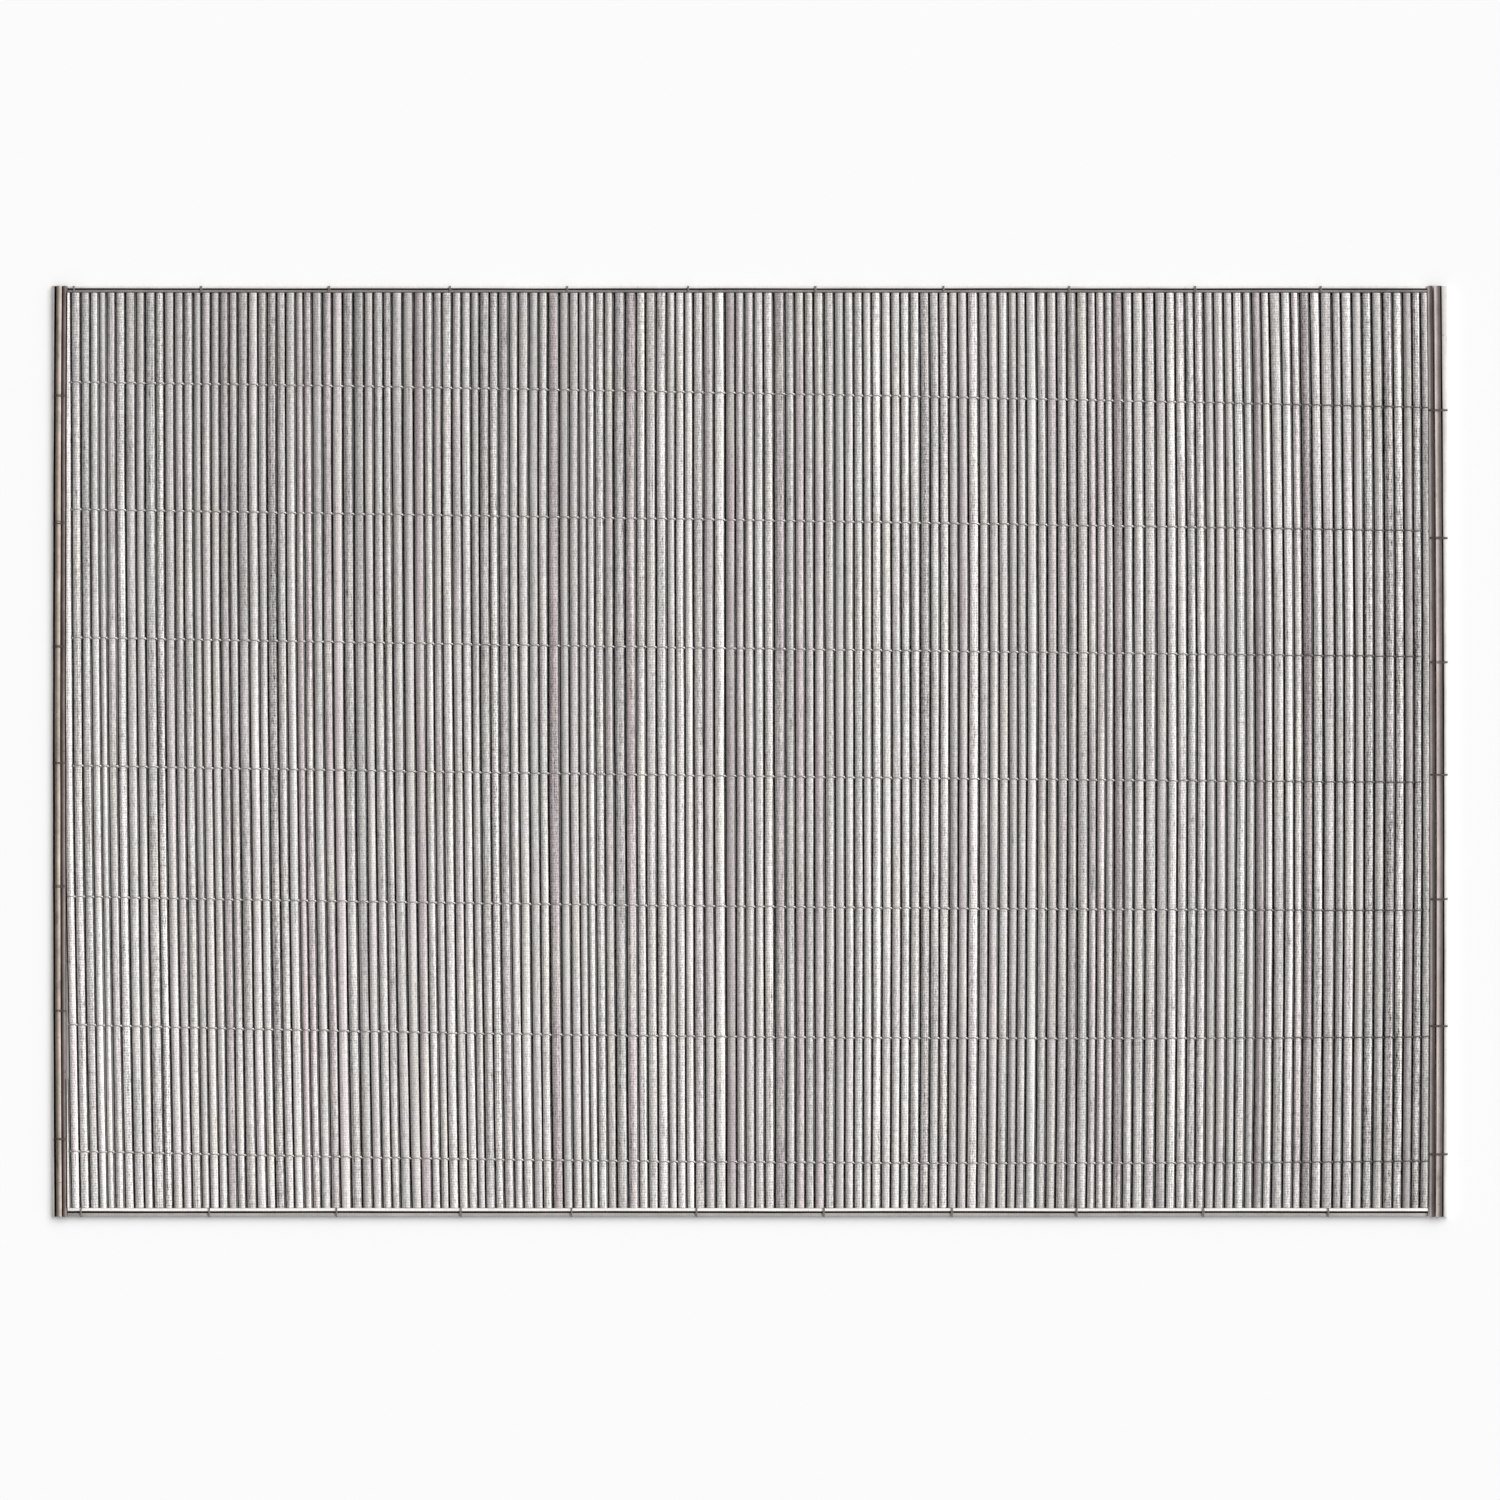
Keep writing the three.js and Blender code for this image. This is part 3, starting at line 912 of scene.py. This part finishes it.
def border_flank(part, rim, inmost, across, height):
    """The painted shade down a piece's flanks. The rim's outer and the inmost lath's inner face get none.
    """
    flank = flank_share(across, height)
    if rim:
        # Painted shade on the rim lath's widened foot, down in the gap beside it
        flank[(across > 0) & (height < -MIDDLE_BAND)] = FOOT_PAINTED_SHADE
        flank[across < 0] = 0
    if inmost and part["form"] == "lath":
        flank[across > 0] = 0
    if part["form"] == "split":
        hollow = height > -MIDDLE_BAND
        # Painted shade on the hollow's outer lip, and more of it on the bulging underside
        flank[hollow] = LIP_PAINTED_SHADE * np.clip(-across[hollow], 0, 1) ** LIP_NARROWNESS
        belly = ~hollow & (across * part["belly"] > 0)
        flank[belly] = np.minimum(1, BELLY_PAINTED_SHADE * flank[belly])
    return flank


def border_section(part, rim, across, height, reach, tall):
    """The places across a border piece, from its middle, with the rim's foot or the split cane's hollow."""
    aside, up = across * reach, height * tall
    if rim:
        aside[(across > 0) & (height < -MIDDLE_BAND)] += RIM_FOOT
    if part["form"] == "split":
        hollow = height > -MIDDLE_BAND
        up = tall - np.where(hollow, HOLLOW_DEPTH * height**2, -2 * height * tall)
        belly = ~hollow & (across * part["belly"] > 0)
        aside[belly] += part["belly"] * np.abs(across[belly])
    return aside, up


def border_piece(side, part):
    settings = SIDES[side]
    name = f"{side}_edge_{part['name']}"
    reach = (part["to"] - part["from"]) / 2
    tall = (part["top"] - BORDER_BOTTOM) / 2
    rim = part is settings["pieces"][0]
    inmost = part is settings["pieces"][-1]
    if part["form"] == "lath":
        piece = model_lath(name, 2 * reach, 2 * tall, settings["ends"])
        across, along, height = (places_of(piece.data) / (reach, 1, tall)).T
    else:
        end_bevel = SPLIT_END_BEVEL if part["form"] == "split" else END_BEVEL
        piece = model_cane(name, CANE_SIDES, BORDER_CUTS, *settings["ends"], end_bevel)
        across, along, height = places_of(piece.data).T
    offset = draw.uniform(0, GRAIN_REACH, 3)
    write_grain_place(piece.data, across, height * tall, reach, along, offset)
    flank = border_flank(part, rim, inmost, across, height)
    flank[at_the_ends(along, settings["ends"])] = 0
    write_attribute(piece.data, "flank", flank)
    # Painted light: a cane's inner side is painted lighter than its outer side
    write_attribute(piece.data, "tone", 1 + part.get("painted_side_light", 0) * across)
    aside, up = border_section(part, rim, across, height, reach, tall)
    aside += (part["from"] + part["to"]) / 2
    up += (part["top"] + BORDER_BOTTOM) / 2
    phases = draw.uniform(0, 2 * math.pi, 3)
    waver = waves_at(along, WAVERS, phases[:2])
    aside += rim_share(side, aside) * (waver - side_bulge(side, along))
    put_places(piece.data, to_rug(side, np.stack([aside, along, up], axis=1)))
    smooth(piece, angle=40)
    piece.data.materials.append(border_materials[part["finish"]])
    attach(piece, "root")
    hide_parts(f"{side}_{part['name']}")
    return piece


border = [border_piece(side, part) for side in SIDES for part in SIDES[side]["pieces"]]


# Ties
# Three turns of thin dark thread go round the border pieces at each tie and pull them against the field.
# They lie close over the tallest piece and slant a little from one side to the other.
TIE_RADIUS = 0.42
TIE_TURNS = 3
TIE_PITCH = 0.8
TIE_SLANT = 0.5
OUTLINE_STEPS = 20
LATH_SQUARENESS = 0.35

# On the left the thread goes round the two canes alone, and leaves the rim lath out
FIRST_TIED = {"left": 1, "right": 0, "top": 0, "bottom": 0}


def wrapped_outline(points):
    """The shortest closed line round a set of points, counter-clockwise."""
    ordered = sorted(set(points))

    def half(in_order):
        line = []
        for point in in_order:
            while len(line) > 1 and (
                (line[-1][0] - line[-2][0]) * (point[1] - line[-2][1])
                <= (line[-1][1] - line[-2][1]) * (point[0] - line[-2][0])
            ):
                line.pop()
            line.append(point)
        return line[:-1]

    return half(ordered) + half(ordered[::-1])


def piece_outline(side, part, y, reach):
    """Points round a border piece's section, at a thread's radius outside it."""
    centre = (part["from"] + part["to"]) / 2
    middle = (BORDER_BOTTOM + part["top"]) / 2
    wide = (part["to"] - part["from"]) / 2
    tall = (part["top"] - BORDER_BOTTOM) / 2
    power = LATH_SQUARENESS if part["form"] == "lath" else 1.0
    outline = []
    for step in range(OUTLINE_STEPS):
        turn = 2 * math.pi * step / OUTLINE_STEPS
        aside, rise = math.cos(turn), math.sin(turn)
        across = centre + math.copysign(abs(aside) ** power, aside) * wide
        across -= rim_share(side, across) * side_bulge(side, y)
        up = middle + math.copysign(abs(rise) ** power, rise) * tall
        outline.append((round(across + aside * reach, 4), round(up + rise * reach, 4)))
    return outline


# The thread is paler along the rug's long sides
DARK_THREAD = (0.085, 0.068, 0.060)
PALE_THREAD = (0.200, 0.180, 0.168)
PALE_THREAD_START = 570 * MM
FUZZ = (900, 900, 900)
FUZZ_SHADE = 0.5

tie_thread, tree, shader = new_material("tie thread")
where = add_node(tree, "ShaderNodeTexCoord").outputs["Object"]
fuzz = stretched_noise(tree, where, FUZZ, 2.0)
dim = math_node(tree, "ADD", math_node(tree, "MULTIPLY", fuzz, FUZZ_SHADE), 1.0)
along_sticks = add_node(tree, "ShaderNodeSeparateXYZ", inputs={0: where}).outputs["Y"]
from_middle = math_node(tree, "ABSOLUTE", along_sticks, 0.0)
pale = math_node(tree, "GREATER_THAN", from_middle, PALE_THREAD_START)
thread_colour = mix_colours(tree, pale, DARK_THREAD, PALE_THREAD)
tree.links.new(scale_colour(tree, thread_colour, dim), shader.inputs["Base Color"])
shader.inputs["Roughness"].default_value = 0.85
add_relief(tree, shader, fuzz, depth=0.1)

ties = []
for side, settings in SIDES.items():
    for number, y in enumerate(settings["ties"], start=1):
        outline = []
        for part in settings["pieces"][FIRST_TIED[side]:]:
            outline += piece_outline(side, part, y, TIE_RADIUS)
        ring = wrapped_outline(outline)
        steps = len(ring) * TIE_TURNS
        slants = draw.normal(0, TIE_SLANT, TIE_TURNS + 1)
        path = []
        for step in range(steps + 1):
            across, up = ring[step % len(ring)]
            slant = slants[step // len(ring)]
            lean = slant * math.sin(math.pi * across / settings["pieces"][-1]["to"])
            path.append((across, y + (step / steps - 0.5) * TIE_PITCH * TIE_TURNS + lean, up))
        wrap = tube_along(f"{side}_wrap_{number}", [to_rug(side, np.array(path))], TIE_RADIUS)
        wrap.data.materials.append(tie_thread)
        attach(wrap, "root")
        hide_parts(f"{side}_tie_{number}")
        ties.append(wrap)


# Floor and light
# A plain near-white floor under soft even light from all round. A low key light from the right shapes
# the rug alone, and a softer one gives the floor its short shadow along the lower edge.
FLOOR_SIZE = 30
SKY_STRENGTH = 0.55

deselect_all()
bpy.ops.mesh.primitive_plane_add(size=FLOOR_SIZE, location=(0, 0, 0))
floor = bpy.context.object
floor.name = "floor"
ground, tree, shader = new_material("floor white")
shader.inputs["Base Color"].default_value = (0.9, 0.9, 0.9, 1)
shader.inputs["Roughness"].default_value = 0.95
shader.inputs["Specular IOR Level"].default_value = 0.0
floor.data.materials.append(ground)

world = bpy.data.worlds.new("studio")
bpy.context.scene.world = world
world.use_nodes = True
world.node_tree.nodes["Background"].inputs["Color"].default_value = (1, 1, 1, 1)
world.node_tree.nodes["Background"].inputs["Strength"].default_value = SKY_STRENGTH


def add_sun(name, azimuth, elevation, strength, spread, lit):
    """Sunlight on the pieces named, from that azimuth (+X towards +Y) and elevation."""
    deselect_all()
    bpy.ops.object.light_add(type="SUN", location=(0, 0, 3))
    sun = bpy.context.object
    sun.name = name
    sun.rotation_euler = (0, math.radians(90 - elevation), math.radians(azimuth))
    sun.data.energy = strength
    sun.data.angle = math.radians(spread)
    receivers = bpy.data.collections.new(f"lit by {name}")
    for piece in lit:
        receivers.objects.link(piece)
    sun.light_linking.receiver_collection = receivers


rug = [field, *rows_of_twine, *border, *ties]
add_sun("key", azimuth=6, elevation=23, strength=4.55, spread=14, lit=rug)
add_sun("floor light", azimuth=62, elevation=50, strength=2.14, spread=60, lit=[floor])

bpy.context.scene.view_settings.view_transform = "Standard"
